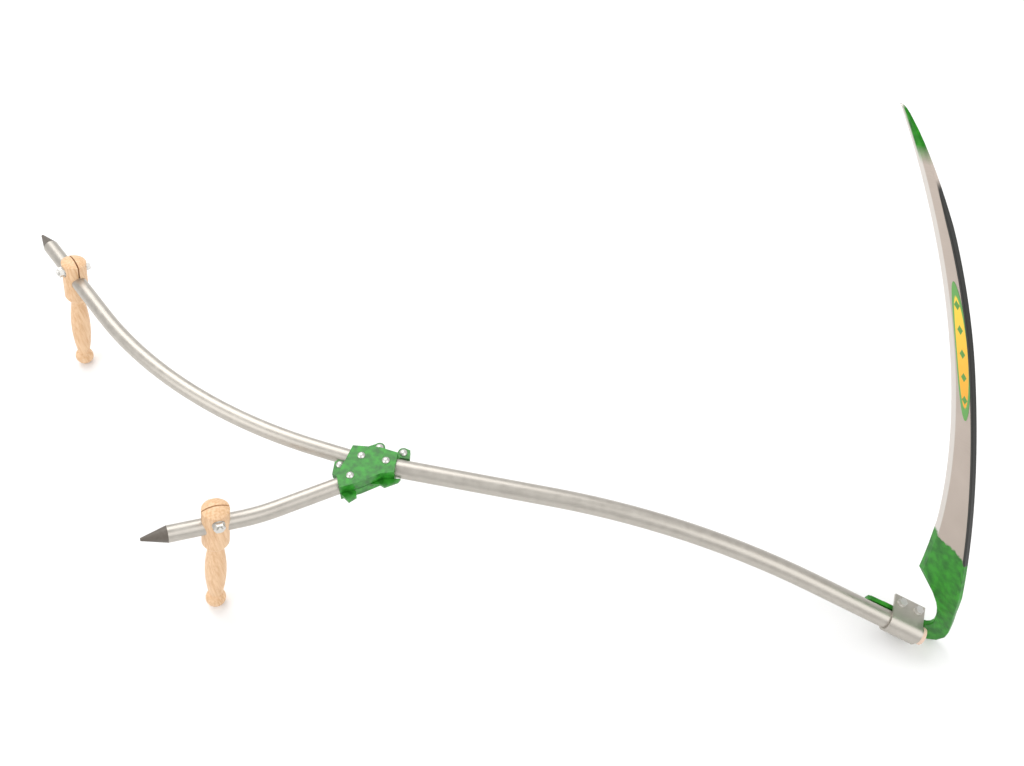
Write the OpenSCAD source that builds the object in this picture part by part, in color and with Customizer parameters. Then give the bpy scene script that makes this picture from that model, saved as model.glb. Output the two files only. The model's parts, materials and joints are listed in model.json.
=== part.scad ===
// Grass scythe: a tubular Y-shaped handle frame with two turned grips, and a curved blade
// whose flat tang is clamped behind the end of the main tube.
// It is drawn in the frame of the junction and then set down on its three feet:
// the two grip knobs and the heel of the blade.

/* [Main tube] */
// Outside diameter of the main tube
main_d = 25; // [22:0.5:28]
// Wall of all three tubes
tube_wall = 1.5; // [1:0.1:2.5]
// Straight length from the junction to the bend
main_straight_in = 238; // [150:1:320]
// Radius of the bend
main_bend_r = 1150; // [700:10:1800]
// Angle of the bend
main_bend = 17.8; // [8:0.1:26]
// Side towards which the tube bends, turned about its own axis
main_bend_side = -120.6; // [-180:0.1:0]
// Straight length from the bend to the blade end
main_straight_out = 156; // [120:1:260]

/* [Arms] */
// Outside diameter of both arms
arm_d = 22; // [19:0.5:25]
// Angle between the upper arm and the main tube's line
upper_angle = 6.8; // [0:0.1:14]
// Straight length of the upper arm at the junction
upper_straight_in = 74; // [50:1:120]
// Radius of the upper arm's bend
upper_bend_r = 707; // [450:1:1000]
// Angle of the upper arm's bend
upper_bend = 33.6; // [15:0.1:45]
// Side towards which the upper arm bends
upper_bend_side = 187.7; // [150:0.1:210]
// Straight length of the upper arm's free end
upper_straight_out = 186; // [160:1:260]
// Angle between the lower arm and the main tube's line
lower_angle = 35.8; // [30:0.1:45]
// Straight length of the lower arm at the junction
lower_straight_in = 112; // [80:1:150]
// Radius of the lower arm's bend
lower_bend_r = 220; // [150:1:400]
// Angle of the lower arm's bend
lower_bend = 12.7; // [4:0.1:24]
// Side towards which the lower arm bends
lower_bend_side = 103.8; // [60:0.1:140]
// Straight length of the lower arm's free end
lower_straight_out = 89; // [86:1:160]

/* [End caps and plug] */
// Length of the pointed cap beyond the tube
cap_cone = 32; // [20:1:45]
// Diameter of the cap's blunt tip
cap_tip_d = 4; // [2:0.5:8]
// Length of the cap's spigot inside the tube
cap_spigot = 18; // [10:1:30]
// Thickness of the plug's rim beyond the main tube
plug_rim = 5; // [3:0.5:8]

/* [Junction] */
// Wall of the shells over the tubes
shell_wall = 3; // [2:0.5:5]
// Thickness of each shell's flange
flange_t = 4.5; // [3:0.5:7]
// Gap between the two shells
shell_gap = 1; // [0.4:0.1:2]
// Diameter of the junction screws
screw_d = 6; // [5:0.5:7]

/* [Grips] */
// Distance from the arm's axis to the end of the knob
grip_reach = 170; // [150:1:200]
// Diameter of the grip's head
head_d = 35; // [33:0.5:42]
// Height of the head above the arm's axis
head_top = 36; // [32:0.5:44]
// Diameter of the grip's neck below the head
neck_d = 20; // [16:0.5:24]
// Greatest diameter of the hand hold
belly_d = 28; // [24:0.5:32]
// Diameter of the waist above the knob
waist_d = 17.6; // [14:0.5:20]
// Diameter of the knob
knob_d = 27; // [24:0.5:32]
// Width of the saw cut in the head
kerf_w = 2.2; // [1.5:0.1:3]
// Distance from the lower arm's end to its grip
lower_grip_at = 59; // [45:1:70]
// Distance from the upper arm's end to its grip
upper_grip_at = 87; // [70:1:110]
// Turn of the lower grip about its arm
lower_grip_turn = 3.5; // [-12:0.5:12]
// Turn of the upper grip about its arm
upper_grip_turn = 13.5; // [-20:0.5:20]
// Diameter of the grip bolts
grip_bolt_d = 8; // [6:0.5:8]

/* [Blade clamp] */
// Sheet thickness of the clamp
strap_t = 3; // [2:0.25:4]
// Length of the clamp along the tube
strap_len = 44; // [36:1:60]
// Distance from the tube's end to the clamp
strap_inset = 4; // [3:0.5:8]
// Reach of the clamp's flanges behind the tube's axis
flange_reach = 32.5; // [30:0.5:42]
// Diameter of the clamp bolts
clamp_bolt_d = 6; // [5:0.5:8]
// Distance between the two clamp bolts
clamp_bolt_gap = 24; // [18:0.5:28]

/* [Blade] */
// Length of the blade plate from the heel line to the tip
blade_len = 701; // [600:1:760]
// Radius of the cutting edge
edge_r = 780; // [700:10:1100]
// Radius of the back over its long stretch
back_r = 1400; // [1200:10:1800]
// Thickness of the plate
plate_t = 2; // [1.5:0.1:3]
// Height of the rib above the underside
rib_h = 6; // [4:0.25:9]
// Width of the rib
rib_w = 3; // [2:0.25:5]
// Width of the ground bevel along the edge
bevel_w = 9; // [5:0.5:14]
// Thickness of the tang and neck
tang_t = 6; // [4:0.25:8]
// Width of the tang under the clamp
tang_w = 16.5; // [12:0.5:17]
// Length of the tang behind the tube, from the tube's end
tang_len = 80; // [66:1:100]
// Diameter of the peg on the tang
peg_d = 8; // [6:0.5:9]
// Fold between the tang and the blade plate
lay_angle = 43.8; // [36:0.1:50]
// Slant of the fold line from square across the tang
fold_skew = 18.4; // [10:0.1:26]
// Angle between the fold line and the blade's length
hafting = 29.1; // [20:0.1:36]
// Length of the oval label
label_len = 168; // [120:1:190]
// Width of the oval label
label_w = 19; // [12:0.5:22]

/* [Hidden] */
$fn = 64;
sweep_fn = 1080;
knob_fn = 96;
eps = 0.01;

// Clearances: a running fit round the tubes and bolts, a seat between pieces of two bodies
fit_gap = 0.08;
seat_gap = 0.3;
hole_gap = 0.4;

main_r = main_d / 2;
arm_r = arm_d / 2;
screw_r = screw_d / 2;

// Where the tubes end inside the junction, in the junction's plane
main_start = [8, 0, 0];
upper_start = [-1, -0.7, 0];
lower_start = [-8.4, -24.4, 0];
// Distance from each tube's inner end to the screw through it
main_pin_at = 13.5;
upper_pin_at = 11;
lower_pin_at = 12;

// Vector helpers
function unit(v) = v / norm(v);
function turned(v, axis, a) = v * cos(a) + cross(axis, v) * sin(a) + axis * (axis * v) * (1 - cos(a));
// A frame is [origin, x, y, z]
function at(f, p) = f[0] + f[1] * p.x + f[2] * p.y + f[3] * p.z;
function swung(f, v) = f[1] * v.x + f[2] * v.y + f[3] * v.z;
module in_frame(f) {
    multmatrix([
        [f[1].x, f[2].x, f[3].x, f[0].x],
        [f[1].y, f[2].y, f[3].y, f[0].y],
        [f[1].z, f[2].z, f[3].z, f[0].z],
        [0, 0, 0, 1]])
        children();
}

// A bent tube is [start, direction, bend side, straight, bend radius, bend angle, straight, radius]
up_side = [0, 0, 1];
function bend_side(dir, a) = cos(a) * cross(up_side, dir) + sin(a) * up_side;
function bent(start, dir, side_a, l1, r, g, l2, rad) =
    [start, dir, bend_side(dir, side_a), l1, r, g, l2, rad];
main_line = bent(main_start, [1, 0, 0], main_bend_side, main_straight_in, main_bend_r, main_bend,
    main_straight_out, main_r);
upper_line = bent(upper_start, [-cos(upper_angle), sin(upper_angle), 0], upper_bend_side,
    upper_straight_in, upper_bend_r, upper_bend, upper_straight_out, arm_r);
lower_line = bent(lower_start, [-cos(lower_angle), -sin(lower_angle), 0], lower_bend_side,
    lower_straight_in, lower_bend_r, lower_bend, lower_straight_out, arm_r);

// Frames along a bent tube: z runs along the tube, x points towards the inside of the bend
function start_frame(t) = [t[0], t[2], cross(t[1], t[2]), t[1]];
function bend_frame(t) = [t[0] + t[1] * t[3], t[2], cross(t[1], t[2]), t[1]];
function after_dir(t) = t[1] * cos(t[5]) + t[2] * sin(t[5]);
function after_side(t) = t[2] * cos(t[5]) - t[1] * sin(t[5]);
function after_point(t) = t[0] + t[1] * t[3] + t[2] * t[4] - after_side(t) * t[4];
function after_frame(t) = [after_point(t), after_side(t), cross(t[1], t[2]), after_dir(t)];
function end_point(t) = after_point(t) + after_dir(t) * t[6];
function end_frame(t) = [end_point(t), after_side(t), cross(t[1], t[2]), after_dir(t)];

// The heel frame sits at the main tube's end: x runs outwards along the tube,
// y away from the viewer across the tang, z up across the clamp's flanges
heel_roll = 119.4;
heel_x = after_dir(main_line);
heel_y = turned(after_side(main_line), heel_x, heel_roll);
heel_frame = [end_point(main_line), heel_x, heel_y, cross(heel_x, heel_y)];

// Grip frame: z up the grip from the knob to the head, x along the arm, y along the bolt
function grip_frame(t, from_end, turn_a, rest_up) =
    let (x = after_dir(t),
         z0 = unit(rest_up - x * (x * rest_up)),
         z = turned(z0, x, turn_a))
    [end_point(t) - x * from_end, x, cross(z, x), z];
rest_up = unit([-0.046, 0.048, 0.998]);
upper_grip_frame = grip_frame(upper_line, upper_grip_at, upper_grip_turn, rest_up);
lower_grip_frame = grip_frame(lower_line, lower_grip_at, lower_grip_turn, rest_up);

// Blade plane: u runs along the blade, w from the back to the edge, b up from the underside
fold_a = [-sin(fold_skew), 0, cos(fold_skew)];
fold_b = [cos(fold_skew), 0, sin(fold_skew)];
fold_out = cos(lay_angle) * fold_b - [0, sin(lay_angle), 0];
blade_u = cos(hafting) * fold_a - sin(hafting) * fold_out;
blade_w = -sin(hafting) * fold_a - cos(hafting) * fold_out;
blade_b = cross(blade_u, blade_w);
tang_front = main_r + seat_gap;
tang_back = tang_front + tang_t;
// The fold line crosses the tang's axis here, beyond the tube's end
fold_at = 20;
fold_sink = 1.5;
blade_origin = [fold_at, tang_back - fold_sink, 0];
function on_blade(u, w, b) = blade_origin + blade_u * u + blade_w * w + blade_b * b;

// Outline of the plate
beard_u = 98;
beard_w = 13;
beard_foot_u = 185;
edge_mid_u = 425;
edge_mid_w = -59;
back_mid_u = 410;
back_mid_w = -94;
back_tip_r = 700;
nose = 2.5;
tip_w = 1.6;
neck_top_u = 85;
neck_top_w = 0.5;
function edge_arc(u) = edge_mid_w + edge_r - sqrt(pow(edge_r, 2) - pow(u - edge_mid_u, 2));
function edge_at(u) =
    u < beard_u ? neck_top_w + (beard_w - neck_top_w) * (u - neck_top_u) / (beard_u - neck_top_u)
    : u < beard_foot_u
        ? beard_w + (edge_arc(beard_foot_u) - beard_w) * (u - beard_u) / (beard_foot_u - beard_u)
    : edge_arc(u);
function back_arc(u) =
    let (r = u < back_mid_u ? back_r : back_tip_r)
    back_mid_w + r - sqrt(pow(r, 2) - pow(u - back_mid_u, 2));
function back_at(u) = u < back_mid_u ? back_arc(u)
    : max(back_arc(u), edge_arc(u) - tip_w - nose * sqrt(max(0, blade_len - u)));

// Blade stations: [underside point at the back, at the edge, thickness side, rib height,
// rib width, plate thickness, edge thickness, bevel width]
edge_t = 0.5;
rib_fade = 120;
root_fade = 60;
function ramp(x, a, b) = min(1, max(0, (x - a) / (b - a)));
function mix(a, b, f) = a + (b - a) * f;
function plate_station(u) =
    let (root = ramp(u, neck_top_u, neck_top_u + root_fade),
         tip = ramp(u, blade_len - rib_fade, blade_len),
         t = mix(tang_t, plate_t, root),
         wide = edge_at(u) - back_at(u))
    [on_blade(u, back_at(u), 0), on_blade(u, edge_at(u), 0), blade_b,
     mix(mix(tang_t + 0.4, rib_h, root), plate_t + 0.2, tip), min(rib_w, wide / 4), t,
     mix(t * 0.8, edge_t, root), min(bevel_w, wide / 3)];
// Stations of the neck, given by their two underside corners and the share of the fold
neck_in = [[3, 0, 11], [5.5, 0, 15], [6, 0.2, 22], [3, 1.2, 31], [-1, 2.7, 40],
    [-5, 4.7, 47], [-10, 7.2, 53], [-20.5, 15.2, 59.5]];
neck_out = [[10, 0, -13], [24, 0, -20], [34, -0.8, -11], [36, -2.3, 5], [31, -4.3, 21],
    [21, -5.8, 42], [8.5, -6.8, 66], [0, -7.3, 83.5]];
function neck_station(i) =
    let (p = neck_out[i] + [0, tang_back, 0],
         q = neck_in[i] + [0, tang_back, 0],
         f = ramp(i, 1, len(neck_in)),
         across = unit(q - p),
         lean = unit(mix([0, -1, 0], blade_b, f)))
    [p, q, unit(lean - across * (across * lean)), tang_t, rib_w, tang_t, tang_t * 0.8, 2];
tang_toe_w = 12;
function tang_station(x, w) =
    [[x, tang_back, -w / 2], [x, tang_back, w / 2], [0, -1, 0], tang_t, rib_w, tang_t, tang_t, 2];
// The tang tapers from its clamped stretch to its toe
function tang_width(x) = mix(tang_w, tang_toe_w, ramp(-x, strap_inset, tang_len));

plate_step = 14;
plate_count = floor((blade_len - beard_foot_u) / plate_step);
stations = concat(
    [for (x = [-tang_len, -tang_len + 4, -tang_len / 2, -strap_inset])
        tang_station(x, tang_width(x) * (x == -tang_len ? 0.7 : 1))],
    [for (i = [0 : len(neck_in) - 1]) neck_station(i)],
    [for (u = [neck_top_u, beard_u, beard_u + 22, beard_u + 44, beard_u + 66]) plate_station(u)],
    [for (i = [0 : plate_count - 1]) plate_station(beard_foot_u + i * plate_step)],
    [for (d = [10, 5, 1.5, 0]) plate_station(blade_len - d)]);

// The eight corners of a station
function station_ring(s) =
    let (a = s[0], c = s[1], k = s[2], w = unit(c - a), wide = norm(c - a))
    [a, a + k * (s[3] - 0.8), a + w * 0.8 + k * s[3], a + w * s[4] + k * s[3],
     a + w * (s[4] + 1.2) + k * s[5], a + w * (wide - s[7]) + k * s[5], c + k * s[6], c];
ring_n = 8;
module loft(list) {
    n = len(list);
    points = [for (s = list) each station_ring(s)];
    sides = [for (i = [0 : n - 2]) for (j = [0 : ring_n - 1])
        let (a = i * ring_n + j, b = i * ring_n + (j + 1) % ring_n)
        each [[a, b, b + ring_n], [a, b + ring_n, a + ring_n]]];
    ends = [for (j = [1 : ring_n - 2])
        each [[0, j + 1, j], [(n - 1) * ring_n, (n - 1) * ring_n + j, (n - 1) * ring_n + j + 1]]];
    polyhedron(points, concat(sides, ends), convexity = 8);
}

// The stand: the plane under both knobs and the lowest corner of the heel
knob_r = knob_d / 2;
knob_mid = [0, 0, knob_r - grip_reach];
upper_knob = at(upper_grip_frame, knob_mid);
lower_knob = at(lower_grip_frame, knob_mid);
heel_points = [for (s = stations) each [for (p = station_ring(s)) at(heel_frame, p)]];
function lowest(points, up) =
    let (h = [for (p = points) p * up], i = search(min(h), h)[0]) points[i];
function stand_up(up, n) = n == 0 ? up :
    let (h = lowest(heel_points, up),
         a = upper_knob - lower_knob,
         b = h - (lower_knob - up * knob_r),
         v = unit(cross(a, b)))
    stand_up(v * rest_up < 0 ? -v : v, n - 1);
stand_z = stand_up(rest_up, 6);
// Heading of the main tube on the floor
heading = -10.7;
stand_x = turned(unit([1, 0, 0] - stand_z * stand_z.x), stand_z, -heading);
stand_y = cross(stand_z, stand_x);
floor_h = (lower_knob - stand_z * knob_r) * stand_z;
// Middle of the object's footprint, seen from the junction
footprint_mid = [105.017, 111.922];
stand_frame = [
    [-footprint_mid.x, -footprint_mid.y, -floor_h],
    [stand_x.x, stand_y.x, stand_z.x],
    [stand_x.y, stand_y.y, stand_z.y],
    [stand_x.z, stand_y.z, stand_z.z]];
module stand() {
    in_frame(stand_frame) children();
}

// Rod along a bent line. The bend is a hair thinner than the straight stretches,
// which run a little way into it, so the three always join into one.
bend_draw = 0.01;
bend_lap = 1;
module bent_rod(t, r) {
    in_frame(start_frame(t)) cylinder(h = t[3] + bend_lap, r = r);
    in_frame(bend_frame(t))
        translate([t[4], 0, 0])
            rotate([90, 0, 180])
                rotate_extrude(angle = t[5], $fn = sweep_fn)
                    translate([t[4], 0]) circle(r = r - bend_draw, $fn = 64);
    in_frame(after_frame(t)) translate([0, 0, -bend_lap]) cylinder(h = t[6] + bend_lap, r = r);
}
module bent_tube(t) {
    difference() {
        bent_rod(t, t[7]);
        bent_rod(t, t[7] - tube_wall);
    }
}
// Straight channel for a tube in the junction, reaching past both ends of the shells
module channel(t, back) {
    in_frame(start_frame(t)) translate([0, 0, -back]) cylinder(h = t[3] + back, r = t[7]);
}

// Junction screws through the tubes
function pin_point(t, s) = t[0] + t[1] * s;
pin_points = [pin_point(upper_line, upper_pin_at), pin_point(main_line, main_pin_at),
    pin_point(lower_line, lower_pin_at)];
ear_points = [[-38, -13, 0], [6, 23.5, 0], [39, 22, 0]];
ear_r = 7.5;
shell_top = main_r + shell_wall;
shell_split = shell_gap / 2;
flange_top = shell_split + flange_t;
screw_hole_r = screw_r + hole_gap / 2;
screw_head_r = screw_r * 1.7;
screw_head_h = screw_r * 1.1;
nut_across = 1.66;
nut_h_share = 0.8;

module at_points(list) {
    for (p = list) translate(p) children();
}
module drill_pins(r) {
    at_points(pin_points) cylinder(h = 4 * shell_top, r = r, center = true);
}

// Tubes
module main_tube() {
    color("silver") stand()
        difference() {
            bent_tube(main_line);
            drill_pins(screw_hole_r);
            in_frame(heel_frame)
                translate([-peg_at, 0, 0])
                    rotate([-90, 0, 0]) cylinder(h = main_d, r = peg_d / 2 + fit_gap);
        }
}
module upper_arm_tube() {
    color("silver") stand()
        difference() {
            bent_tube(upper_line);
            drill_pins(screw_hole_r);
        }
}
module lower_arm_tube() {
    color("silver") stand()
        difference() {
            bent_tube(lower_line);
            drill_pins(screw_hole_r);
        }
}

// Junction shells
body_outline = [[-31, -13], [-27, 13.5], [-2, 16.5], [9, 18], [34, 15], [36, -15], [20, -20],
    [-4, -39], [-27, -52], [-36, -34]];
flange_outline = [[-33, -8], [-27, 13.5], [-14, 19], [0, 28], [12, 28], [15, 21], [31, 20.5],
    [34, 28], [38, 29.5], [47, 28], [49.5, 14.5], [36, 14], [36, -15], [20, -20], [-4, -39],
    [-27, -52], [-33, -31], [-44, -29], [-46, -10], [-40, -7]];
lug_outlines = [[[10, -20], [44, -14], [42, -19], [26, -30], [20, -27.5], [8, -30]],
    [[-20, -40], [-8, -44], [-5, -52], [-13, -61], [-25, -53], [-28, -45]]];
module shell_half(lugs) {
    difference() {
        union() {
            translate([0, 0, shell_split]) {
                linear_extrude(height = shell_top - shell_split) polygon(body_outline);
                linear_extrude(height = flange_t) polygon(flange_outline);
                if (lugs)
                    linear_extrude(height = flange_t)
                        for (o = lug_outlines) polygon(o);
            }
            at_points(ear_points) translate([0, 0, shell_split]) cylinder(h = flange_t, r = ear_r);
        }
        channel(main_line, 0);
        channel(upper_line, 0);
        channel(lower_line, 0);
        drill_pins(screw_hole_r);
        at_points(ear_points) cylinder(h = 4 * shell_top, r = screw_hole_r, center = true);
    }
}
module junction_front_shell() {
    color("forestgreen") stand() shell_half(false);
}
module junction_rear_shell() {
    color("forestgreen") stand() mirror([0, 0, 1]) shell_half(true);
}

// Domed screw head seated at height h
module domed_head() {
    intersection() {
        translate([0, 0, screw_head_h - screw_head_r * 1.25])
            sphere(r = screw_head_r * 1.25, $fn = 48);
        cylinder(h = screw_head_h + 1, r = screw_head_r);
    }
}
module screw(grip_h) {
    translate([0, 0, grip_h]) domed_head();
    translate([0, 0, -grip_h - screw_d]) cylinder(h = 2 * grip_h + screw_d, r = screw_r);
}
module hex_nut(d) {
    difference() {
        cylinder(h = d * nut_h_share, r = d * nut_across / sqrt(3), $fn = 6);
        translate([0, 0, -d]) cylinder(h = 3 * d, r = d / 2 + fit_gap);
    }
}
module junction_screws() {
    color("gainsboro") stand() {
        at_points(pin_points) screw(shell_top);
        at_points(ear_points) screw(flange_top);
    }
}
module junction_nuts() {
    color("gainsboro") stand() {
        at_points(pin_points) translate([0, 0, -shell_top - screw_d * nut_h_share]) hex_nut(screw_d);
        at_points(ear_points) translate([0, 0, -flange_top - screw_d * nut_h_share]) hex_nut(screw_d);
    }
}

// Pointed cap with a spigot in the tube
module end_cap(t) {
    in_frame(end_frame(t)) {
        cylinder(h = cap_cone, r1 = arm_r, r2 = cap_tip_d / 2);
        translate([0, 0, -cap_spigot]) cylinder(h = cap_spigot + eps, r = arm_r - tube_wall);
    }
}
module upper_end_cap() {
    color("dimgray") stand() end_cap(upper_line);
}
module lower_end_cap() {
    color("dimgray") stand() end_cap(lower_line);
}
module tube_end_plug() {
    color("beige") stand()
        in_frame(end_frame(main_line)) {
            cylinder(h = plug_rim, r = main_r - 0.5);
            translate([0, 0, -cap_spigot]) cylinder(h = cap_spigot + eps, r = main_r - tube_wall);
        }
}

// Turned grip
head_r = head_d / 2;
shoulder_top = 30;
shoulder_len = 14;
neck_at = shoulder_top + shoulder_len;
waist_at = grip_reach - knob_d - 1.5;
belly_half = (waist_at - neck_at) / 2;
belly_rise = belly_d / 2 - (neck_d + waist_d) / 4;
belly_r = (pow(belly_half, 2) + pow(belly_rise, 2)) / (2 * belly_rise);
bolt_up = arm_r + grip_bolt_d / 2 + 3;
washer_r = grip_bolt_d;
washer_t = 1.6;
spot_at = head_r - 2;
// Half outline of the turned grip, from the top of the dome down to the bottom of the knob
dome_r = head_d * 0.8;
arc_n = 10;
function dome_y(x) = head_top - dome_r + sqrt(pow(dome_r, 2) - pow(x, 2));
function belly_x(y) = belly_d / 2 - belly_r + sqrt(pow(belly_r, 2) - pow(y + (waist_at + neck_at) / 2, 2));
knob_waist_a = acos(waist_d / knob_d);
grip_outline = concat(
    [for (i = [0 : arc_n]) let (x = head_r * i / arc_n) [x, dome_y(x)]],
    [[head_r, -shoulder_top - 2], [head_r - 2.5, -shoulder_top - 7], [neck_d / 2, -neck_at]],
    [for (i = [1 : 2 * arc_n]) let (y = -neck_at + (neck_at - waist_at) * i / (2 * arc_n))
        [belly_x(y), y]],
    [for (i = [0 : 2 * arc_n]) let (a = knob_waist_a - (knob_waist_a + 90) * i / (2 * arc_n))
        [knob_r * cos(a), knob_r - grip_reach + knob_r * sin(a)]]);
module grip() {
    difference() {
        rotate_extrude($fn = knob_fn) polygon(grip_outline);
        rotate([0, 90, 0]) cylinder(h = 2 * head_d, r = arm_r + fit_gap, center = true);
        translate([-head_d, -kerf_w / 2, 0]) cube([2 * head_d, kerf_w, 2 * head_d]);
        translate([0, 0, bolt_up]) rotate([90, 0, 0]) {
            cylinder(h = 2 * head_d, r = grip_bolt_d / 2 + hole_gap / 2, center = true);
            for (s = [0, 1]) mirror([0, 0, s])
                translate([0, 0, spot_at]) cylinder(h = head_d, r = washer_r + 0.6);
        }
    }
}
// The bolt's own frame: z along the bolt, the head at the negative side
module on_grip_bolt() {
    translate([0, 0, bolt_up]) rotate([-90, 0, 0]) children();
}
bolt_seat = spot_at + washer_t;
module grip_bolt() {
    on_grip_bolt() {
        translate([0, 0, -bolt_seat - grip_bolt_d * 0.66])
            cylinder(h = grip_bolt_d * 0.66, r = grip_bolt_d * nut_across / sqrt(3), $fn = 6);
        translate([0, 0, -bolt_seat - eps])
            cylinder(h = 2 * bolt_seat + grip_bolt_d * nut_h_share + 2.5, r = grip_bolt_d / 2);
    }
}
module grip_washers() {
    on_grip_bolt()
        for (z = [-bolt_seat, spot_at])
            translate([0, 0, z])
                difference() {
                    cylinder(h = washer_t, r = washer_r);
                    translate([0, 0, -1]) cylinder(h = washer_t + 2, r = grip_bolt_d / 2 + hole_gap / 2);
                }
}
module grip_nut() {
    on_grip_bolt() translate([0, 0, bolt_seat + 0.1]) hex_nut(grip_bolt_d);
}
module upper_grip() {
    color("burlywood") stand() in_frame(upper_grip_frame) grip();
}
module upper_grip_bolt() {
    color("gainsboro") stand() in_frame(upper_grip_frame) grip_bolt();
}
module upper_grip_washers() {
    color("gainsboro") stand() in_frame(upper_grip_frame) grip_washers();
}
module upper_grip_nut() {
    color("gainsboro") stand() in_frame(upper_grip_frame) grip_nut();
}
module lower_grip() {
    color("burlywood") stand() in_frame(lower_grip_frame) grip();
}
module lower_grip_bolt() {
    color("gainsboro") stand() in_frame(lower_grip_frame) grip_bolt();
}
module lower_grip_washers() {
    color("gainsboro") stand() in_frame(lower_grip_frame) grip_washers();
}
module lower_grip_nut() {
    color("gainsboro") stand() in_frame(lower_grip_frame) grip_nut();
}

// Blade with its tang, and the peg that the hafting angle turns about
peg_at = tang_len - 10;
module blade() {
    color("lightsteelblue") stand() in_frame(heel_frame)
        union() {
            loft(stations);
            translate([-peg_at, main_r - tube_wall - 1, 0])
                rotate([-90, 0, 0]) cylinder(h = tube_wall + 1 + seat_gap + 2, r = peg_d / 2);
        }
}
label_mid_u = 432;
label_t = 0.3;
label_n = 24;
function label_mid_w(u) = back_at(u) + rib_w + 2.2 + label_w / 2;
module blade_label() {
    half = label_len / 2;
    color("orange") stand() in_frame(heel_frame)
        in_frame([on_blade(0, 0, plate_t), blade_u, blade_w, blade_b])
            linear_extrude(height = label_t)
                polygon([for (i = [0 : 2 * label_n - 1])
                    let (a = 180 * i / label_n,
                         du = half * cos(a),
                         dw = label_w / 2 * sin(a))
                    [label_mid_u + du, label_mid_w(label_mid_u + du) + dw]]);
}

// Clamp: a sheet bent round the tube, its two flanges drawn together behind the tang
strap_r = main_r + fit_gap;
clamp_bolt_y = tang_back + 1 + clamp_bolt_d / 2;
flange_z = strap_r + strap_t;
clamp_bolt_x = [-strap_inset - (strap_len - clamp_bolt_gap) / 2,
    -strap_inset - (strap_len + clamp_bolt_gap) / 2];
module strap_section(r) {
    circle(r = r);
    translate([0, -r]) square([flange_reach, 2 * r]);
}
module clamp_strap() {
    color("lightgray") stand() in_frame(heel_frame)
        difference() {
            translate([-strap_inset - strap_len, 0, 0])
                rotate([90, 0, 90])
                    linear_extrude(height = strap_len)
                        difference() {
                            strap_section(flange_z);
                            circle(r = strap_r);
                            translate([0, -strap_r]) square([flange_reach + 1, 2 * strap_r]);
                        }
            for (x = clamp_bolt_x)
                translate([x, clamp_bolt_y, 0])
                    cylinder(h = 3 * flange_z, r = clamp_bolt_d / 2 + hole_gap / 2, center = true);
        }
}
clamp_washer_t = 1.2;
clamp_seat = flange_z + clamp_washer_t;
module at_clamp_bolts(list) {
    for (x = list) translate([x, clamp_bolt_y, 0]) children();
}
module clamp_bolts() {
    color("gainsboro") stand() in_frame(heel_frame)
        at_clamp_bolts(clamp_bolt_x) {
            translate([0, 0, clamp_seat])
                cylinder(h = clamp_bolt_d * 0.66, r = clamp_bolt_d * nut_across / sqrt(3), $fn = 6);
            translate([0, 0, -clamp_seat - clamp_bolt_d * nut_h_share - 2])
                cylinder(h = 2 * clamp_seat + clamp_bolt_d * nut_h_share + 2 + eps,
                    r = clamp_bolt_d / 2);
        }
}
module clamp_washers() {
    color("gainsboro") stand() in_frame(heel_frame)
        at_clamp_bolts(clamp_bolt_x)
            for (z = [flange_z, -clamp_seat])
                translate([0, 0, z])
                    difference() {
                        cylinder(h = clamp_washer_t, r = clamp_bolt_d);
                        translate([0, 0, -1])
                            cylinder(h = clamp_washer_t + 2, r = clamp_bolt_d / 2 + hole_gap / 2);
                    }
}
module clamp_nut(i) {
    color("gainsboro") stand() in_frame(heel_frame)
        at_clamp_bolts([clamp_bolt_x[i]])
            translate([0, 0, -clamp_seat - 0.1 - clamp_bolt_d * nut_h_share]) hex_nut(clamp_bolt_d);
}
module clamp_nut_outer() {
    clamp_nut(0);
}
module clamp_nut_inner() {
    clamp_nut(1);
}

main_tube();
upper_arm_tube();
lower_arm_tube();
junction_front_shell();
junction_rear_shell();
junction_screws();
junction_nuts();
upper_end_cap();
lower_end_cap();
tube_end_plug();
upper_grip();
upper_grip_bolt();
upper_grip_washers();
upper_grip_nut();
lower_grip();
lower_grip_bolt();
lower_grip_washers();
lower_grip_nut();
blade();
blade_label();
clamp_strap();
clamp_bolts();
clamp_washers();
clamp_nut_outer();
clamp_nut_inner();
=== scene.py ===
import json
import math

import bpy
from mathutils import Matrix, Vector

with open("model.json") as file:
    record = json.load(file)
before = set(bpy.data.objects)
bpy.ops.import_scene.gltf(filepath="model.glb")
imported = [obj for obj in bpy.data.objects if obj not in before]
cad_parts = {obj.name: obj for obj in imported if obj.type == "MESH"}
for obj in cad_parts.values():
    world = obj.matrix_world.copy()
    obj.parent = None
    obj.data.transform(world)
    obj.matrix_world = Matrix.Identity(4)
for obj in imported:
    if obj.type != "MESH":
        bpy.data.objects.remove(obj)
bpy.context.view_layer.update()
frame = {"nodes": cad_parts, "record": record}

# Camera at the photograph's place and angle, in the part's frame
CAMERA_AT = (0.0821, -0.9045, 1.3187)
CAMERA_TILT = math.radians(38.54)
CAMERA_LENS = 37.29

# Blade frame: u runs along the blade, w from the back to the edge
BLADE_AT = (0.637765, -0.286614, 0.020243)
BLADE_U = (-0.219974, 0.434697, 0.873298)
BLADE_W = (-0.394676, 0.779025, -0.487186)
# The back is one arc up to its middle and a tighter one from there to the tip
BACK_MID_U = 0.410
BACK_CENTRE_W = 1.306
BACK_R = 1.400
TIP_CENTRE_W = 0.606
TIP_R = 0.700
EDGE_MID_U = 0.425
EDGE_CENTRE_W = 0.721
EDGE_R = 0.780

# Bands of the blade, measured from its back or its edge
# The band along the back stands for the rib: its own dark unground steel plus painted shade
# on its side
RIB_SHADE_BAND = 0.0034
RIB_SHADE_BLUR = 0.0004
BEVEL_BAND = 0.009
BEVEL_BLUR = 0.0012
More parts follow.
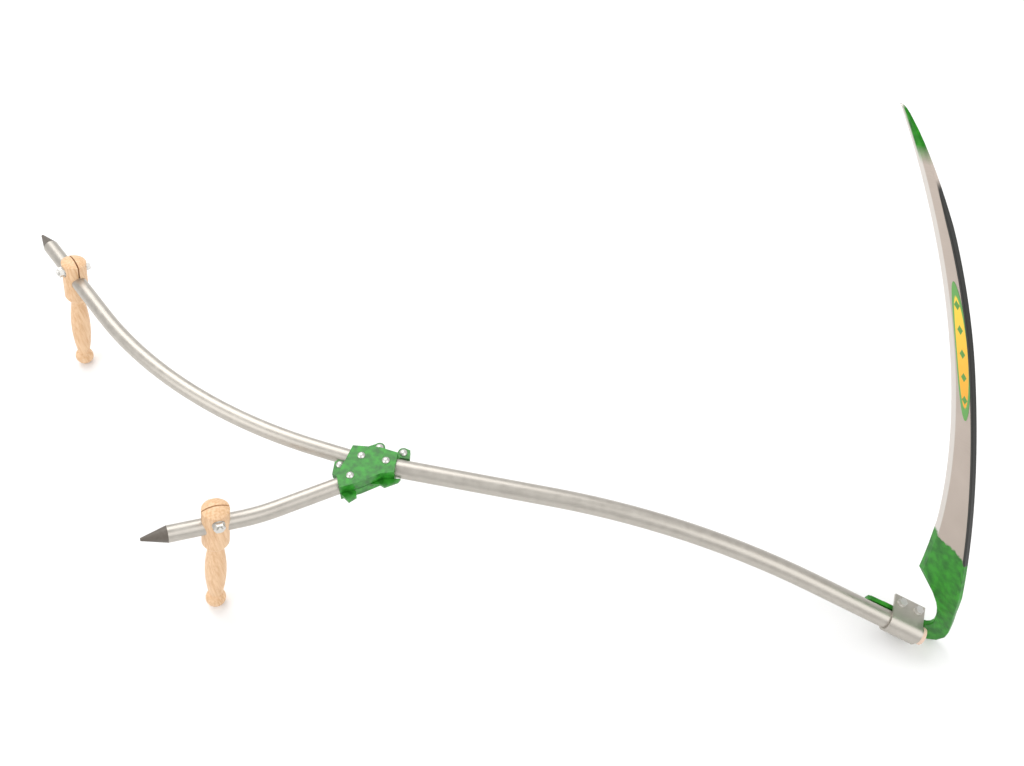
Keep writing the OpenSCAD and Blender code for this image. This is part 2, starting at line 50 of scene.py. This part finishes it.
# Green paint on the heel ends on a slanting, wandering line
PAINT_NONE_U = 0.185
PAINT_FULL_U = 0.181
PAINT_SLANT = -0.64
PAINT_WANDER = 0.03
TIP_PAINT_U = 0.640
TIP_PAINT_FADE = 0.02
TIP_PAINT_FROM_EDGE = (0.003, 0.006)
BARE_METAL = 0.55
GRIND_SCALE = 1400.0

# Label: middle and half sizes, with a row of plain diamonds
LABEL_MID_U = 0.432
LABEL_BACK = 0.0147
LABEL_HALF_LENGTH = 0.084
LABEL_HALF_WIDTH = 0.0095
LABEL_BORDER = (0.78, 0.82)
LABEL_FADE = 0.8
DIAMOND_WAVE = 110.0
DIAMOND_LENGTH = 0.7
DIAMOND_RIM = (0.46, 0.40)

# Shares of a noise between which one colour turns into the other
PATCHES = (0.35, 0.65)
FLECKS = (0.62, 0.75)
GRIND = (0.3, 0.7)

FLOOR_SIZE = 30.0
FLOOR_DROP = 0.0005
SKY_LIGHT = 0.75
MIDDLE = (0.0, 0.0, 0.1)
# Lights: name, place, size, power
LIGHTS = (
    ("key", (-0.8, 1.6, 2.6), 2.5, 55.0),
    ("fill", (1.8, -1.6, 2.2), 2.5, 30.0),
    ("side", (-2.2, -1.2, 1.6), 2.0, 22.0),
)


class Graph:
    """A material's node tree, with short calls for what the materials here use."""

    def __init__(self, name, rough, metal=0.0):
        self.mat = bpy.data.materials.new(name)
        self.mat.use_nodes = True
        self.tree = self.mat.node_tree
        self.shader = self.tree.nodes["Principled BSDF"]
        self.shader.inputs["Roughness"].default_value = rough
        self.shader.inputs["Metallic"].default_value = metal
        self.place = self.tree.nodes.new("ShaderNodeTexCoord").outputs["Object"]

    def put(self, socket, value):
        if isinstance(value, bpy.types.NodeSocket):
            self.tree.links.new(value, socket)
        elif isinstance(value, tuple) and socket.type == "RGBA":
            socket.default_value = (*value, 1.0)
        else:
            socket.default_value = value

    def math(self, kind, a, b=0.0):
        n = self.tree.nodes.new("ShaderNodeMath")
        n.operation = kind
        self.put(n.inputs[0], a)
        self.put(n.inputs[1], b)
        return n.outputs[0]

    def along(self, direction, origin):
        shift = self.tree.nodes.new("ShaderNodeVectorMath")
        shift.operation = "SUBTRACT"
        self.put(shift.inputs[0], self.place)
        shift.inputs[1].default_value = origin
        dot = self.tree.nodes.new("ShaderNodeVectorMath")
        dot.operation = "DOT_PRODUCT"
        self.put(dot.inputs[0], shift.outputs["Vector"])
        dot.inputs[1].default_value = direction
        return dot.outputs["Value"]

    def noise(self, scale, stretch=(1.0, 1.0, 1.0), detail=4.0):
        m = self.tree.nodes.new("ShaderNodeMapping")
        m.inputs["Scale"].default_value = stretch
        self.put(m.inputs["Vector"], self.place)
        n = self.tree.nodes.new("ShaderNodeTexNoise")
        n.inputs["Scale"].default_value = scale
        n.inputs["Detail"].default_value = detail
        self.put(n.inputs["Vector"], m.outputs["Vector"])
        return n.outputs["Fac"]

    def step(self, value, low, high):
        n = self.tree.nodes.new("ShaderNodeMapRange")
        self.put(n.inputs["Value"], value)
        n.inputs["From Min"].default_value = low
        n.inputs["From Max"].default_value = high
        return n.outputs["Result"]

    def mix(self, factor, a, b):
        n = self.tree.nodes.new("ShaderNodeMix")
        n.data_type = "RGBA"
        self.put(n.inputs[0], factor)
        self.put(n.inputs[6], a)
        self.put(n.inputs[7], b)
        return n.outputs[2]

    def bump(self, height, strength, distance):
        n = self.tree.nodes.new("ShaderNodeBump")
        n.inputs["Strength"].default_value = strength
        n.inputs["Distance"].default_value = distance
        self.put(n.inputs["Height"], height)
        self.put(self.shader.inputs["Normal"], n.outputs["Normal"])

    def colour(self, value):
        self.put(self.shader.inputs["Base Color"], value)
        return self.mat

    def rough(self, low, high, value):
        n = self.tree.nodes.new("ShaderNodeMapRange")
        self.put(n.inputs["Value"], value)
        n.inputs["To Min"].default_value = low
        n.inputs["To Max"].default_value = high
        self.put(self.shader.inputs["Roughness"], n.outputs["Result"])


def galvanised():
    g = Graph("galvanised", 0.4, 0.85)
    cloud = g.noise(90.0)
    fine = g.noise(900.0, detail=2.0)
    g.rough(0.30, 0.52, cloud)
    g.bump(fine, 0.15, 0.0002)
    return g.colour(g.mix(cloud, (0.40, 0.37, 0.33), (0.56, 0.53, 0.48)))


def green_paint():
    g = Graph("green_paint", 0.35)
    cloud = g.noise(120.0)
    g.rough(0.22, 0.5, cloud)
    g.bump(g.noise(600.0), 0.3, 0.0003)
    patches = g.step(cloud, *PATCHES)
    return g.colour(g.mix(patches, (0.006, 0.13, 0.004), (0.03, 0.30, 0.02)))


def zinc():
    g = Graph("zinc", 0.35, 0.9)
    cloud = g.noise(300.0)
    g.rough(0.25, 0.45, cloud)
    return g.colour(g.mix(cloud, (0.55, 0.54, 0.50), (0.75, 0.74, 0.72)))


def grey_plastic():
    g = Graph("grey_plastic", 0.5)
    cloud = g.noise(250.0)
    g.bump(g.noise(1500.0), 0.2, 0.0002)
    return g.colour(g.mix(cloud, (0.09, 0.075, 0.06), (0.14, 0.12, 0.10)))


def cream_plastic():
    g = Graph("cream_plastic", 0.45)
    cloud = g.noise(150.0)
    return g.colour(g.mix(cloud, (0.72, 0.50, 0.38), (0.80, 0.62, 0.50)))


def beech():
    """Turned wood: its grain and flecks are drawn out along the grips."""
    g = Graph("beech", 0.45)
    grain = g.noise(60.0, stretch=(6.0, 6.0, 0.35), detail=8.0)
    fleck = g.noise(260.0, stretch=(4.0, 4.0, 0.5), detail=3.0)
    wood = g.mix(g.step(grain, *PATCHES), (0.66, 0.40, 0.21), (0.80, 0.55, 0.34))
    wood = g.mix(g.step(fleck, *FLECKS), wood, (0.52, 0.29, 0.14))
    g.rough(0.38, 0.55, grain)
    g.bump(grain, 0.2, 0.0004)
    return g.colour(wood)


def length(g, a, b):
    """Length of the vector with these two parts."""
    squares = g.math("ADD", g.math("MULTIPLY", a, a), g.math("MULTIPLY", b, b))
    return g.math("SQRT", squares)


def distance(g, u, w, centre_u, centre_w):
    du = g.math("SUBTRACT", u, centre_u)
    dw = g.math("SUBTRACT", w, centre_w)
    return length(g, du, dw)


def back_gap(g, u, w):
    """Distance from the blade's back, inside the plate."""
    root = g.math("SUBTRACT", BACK_R, distance(g, u, w, BACK_MID_U, BACK_CENTRE_W))
    tip = g.math("SUBTRACT", TIP_R, distance(g, u, w, BACK_MID_U, TIP_CENTRE_W))
    past = g.math("GREATER_THAN", u, BACK_MID_U)
    rest = g.math("SUBTRACT", 1.0, past)
    return g.math("ADD", g.math("MULTIPLY", root, rest), g.math("MULTIPLY", tip, past))


def grinding(g, u):
    """Fine marks that run across the plate."""
    mark = g.tree.nodes.new("ShaderNodeTexNoise")
    mark.noise_dimensions = "1D"
    mark.inputs["Scale"].default_value = GRIND_SCALE
    mark.inputs["Detail"].default_value = 4.0
    g.put(mark.inputs["W"], u)
    return mark.outputs["Fac"]


def blade_steel():
    g = Graph("blade_steel", 0.4)
    u = g.along(BLADE_U, BLADE_AT)
    w = g.along(BLADE_W, BLADE_AT)
    ground = grinding(g, u)
    face = g.mix(g.noise(30.0), (0.40, 0.33, 0.28), (0.56, 0.48, 0.42))
    face = g.mix(g.step(ground, *GRIND), face, (0.52, 0.45, 0.40))
    edge = g.math("SUBTRACT", distance(g, u, w, EDGE_MID_U, EDGE_CENTRE_W), EDGE_R)
    bevel = g.step(edge, BEVEL_BAND, BEVEL_BAND - BEVEL_BLUR)
    face = g.mix(bevel, face, (0.66, 0.62, 0.58))
    # Near-black band along the back: the rib's dark unground steel with painted shade of
    # its side on top
    rib_dark_and_shade = g.step(back_gap(g, u, w), RIB_SHADE_BAND + RIB_SHADE_BLUR, RIB_SHADE_BAND - RIB_SHADE_BLUR)
    face = g.mix(rib_dark_and_shade, face, (0.012, 0.012, 0.010))
    wander = g.math("MULTIPLY", g.math("SUBTRACT", g.noise(60.0), 0.5), PAINT_WANDER)
    slant = g.math("ADD", u, g.math("MULTIPLY", w, PAINT_SLANT))
    painted = g.step(g.math("ADD", slant, wander), PAINT_NONE_U, PAINT_FULL_U)
    patches = g.step(g.noise(90.0), *PATCHES)
    green = g.mix(patches, (0.004, 0.13, 0.002), (0.02, 0.27, 0.006))
    face = g.mix(painted, face, green)
    off_edge = g.step(edge, *TIP_PAINT_FROM_EDGE)
    near_tip = g.step(u, TIP_PAINT_U, TIP_PAINT_U + TIP_PAINT_FADE)
    face = g.mix(g.math("MULTIPLY", near_tip, off_edge), face, green)
    # The plate is bare metal; the heel's paint and the rib band (dark steel plus painted
    # shade) aren't
    bare = g.math("SUBTRACT", 1.0, g.math("MAXIMUM", painted, rib_dark_and_shade))
    g.put(g.shader.inputs["Metallic"], g.math("MULTIPLY", bare, BARE_METAL))
    g.rough(0.34, 0.5, ground)
    g.bump(ground, 0.08, 0.0001)
    return g.colour(face)


def label_print():
    g = Graph("label", 0.35)
    u = g.along(BLADE_U, BLADE_AT)
    w = g.along(BLADE_W, BLADE_AT)
    from_mid = g.math("SUBTRACT", u, LABEL_MID_U)
    across = g.math("SUBTRACT", back_gap(g, u, w), LABEL_BACK)
    a = g.math("DIVIDE", from_mid, LABEL_HALF_LENGTH)
    b = g.math("DIVIDE", across, LABEL_HALF_WIDTH)
    warm = g.mix(g.step(a, -LABEL_FADE, LABEL_FADE), (0.95, 0.38, 0.02), (0.95, 0.66, 0.05))
    # Plain diamonds along the middle
    wave = g.math("ABSOLUTE", g.math("SINE", g.math("MULTIPLY", from_mid, DIAMOND_WAVE)))
    diamond = g.math("ADD", g.math("ABSOLUTE", b), g.math("MULTIPLY", wave, DIAMOND_LENGTH))
    inner = g.mix(g.step(diamond, *DIAMOND_RIM), warm, (0.10, 0.30, 0.05))
    border = g.step(length(g, a, b), *LABEL_BORDER)
    return g.colour(g.mix(border, inner, (0.12, 0.36, 0.08)))


materials = {
    "galvanised": galvanised(),
    "green_paint": green_paint(),
    "zinc": zinc(),
    "grey_plastic": grey_plastic(),
    "cream_plastic": cream_plastic(),
    "beech": beech(),
    "blade_steel": blade_steel(),
    "label": label_print(),
}
for part in frame["record"]["subparts"]:
    node = frame["nodes"][part["node"]]
    node.data.materials.clear()
    node.data.materials.append(materials[part["material_slot"]])

# Stage: a pale floor and soft lights
bpy.ops.mesh.primitive_plane_add(size=FLOOR_SIZE, location=(0.0, 0.0, -FLOOR_DROP))
floor = bpy.context.object
floor.name = "floor"
floor.data.materials.append(Graph("floor", 0.9).colour((0.88, 0.88, 0.88)))

scene = bpy.context.scene


def area_light(name, at, size, power):
    data = bpy.data.lights.new(name, "AREA")
    data.size = size
    data.energy = power
    light = bpy.data.objects.new(name, data)
    light.location = at
    towards = Vector(MIDDLE) - Vector(at)
    light.rotation_euler = towards.to_track_quat("-Z", "Y").to_euler()
    scene.collection.objects.link(light)


for light_values in LIGHTS:
    area_light(*light_values)

world = bpy.data.worlds.new("world")
world.use_nodes = True
sky = world.node_tree.nodes["Background"]
sky.inputs["Color"].default_value = (1.0, 1.0, 1.0, 1.0)
sky.inputs["Strength"].default_value = SKY_LIGHT
scene.world = world
scene.view_settings.view_transform = "Standard"

camera_data = bpy.data.cameras.new("camera")
camera_data.lens = CAMERA_LENS
camera = bpy.data.objects.new("camera", camera_data)
camera.location = CAMERA_AT
camera.rotation_euler = (CAMERA_TILT, 0.0, 0.0)
scene.collection.objects.link(camera)
scene.camera = camera
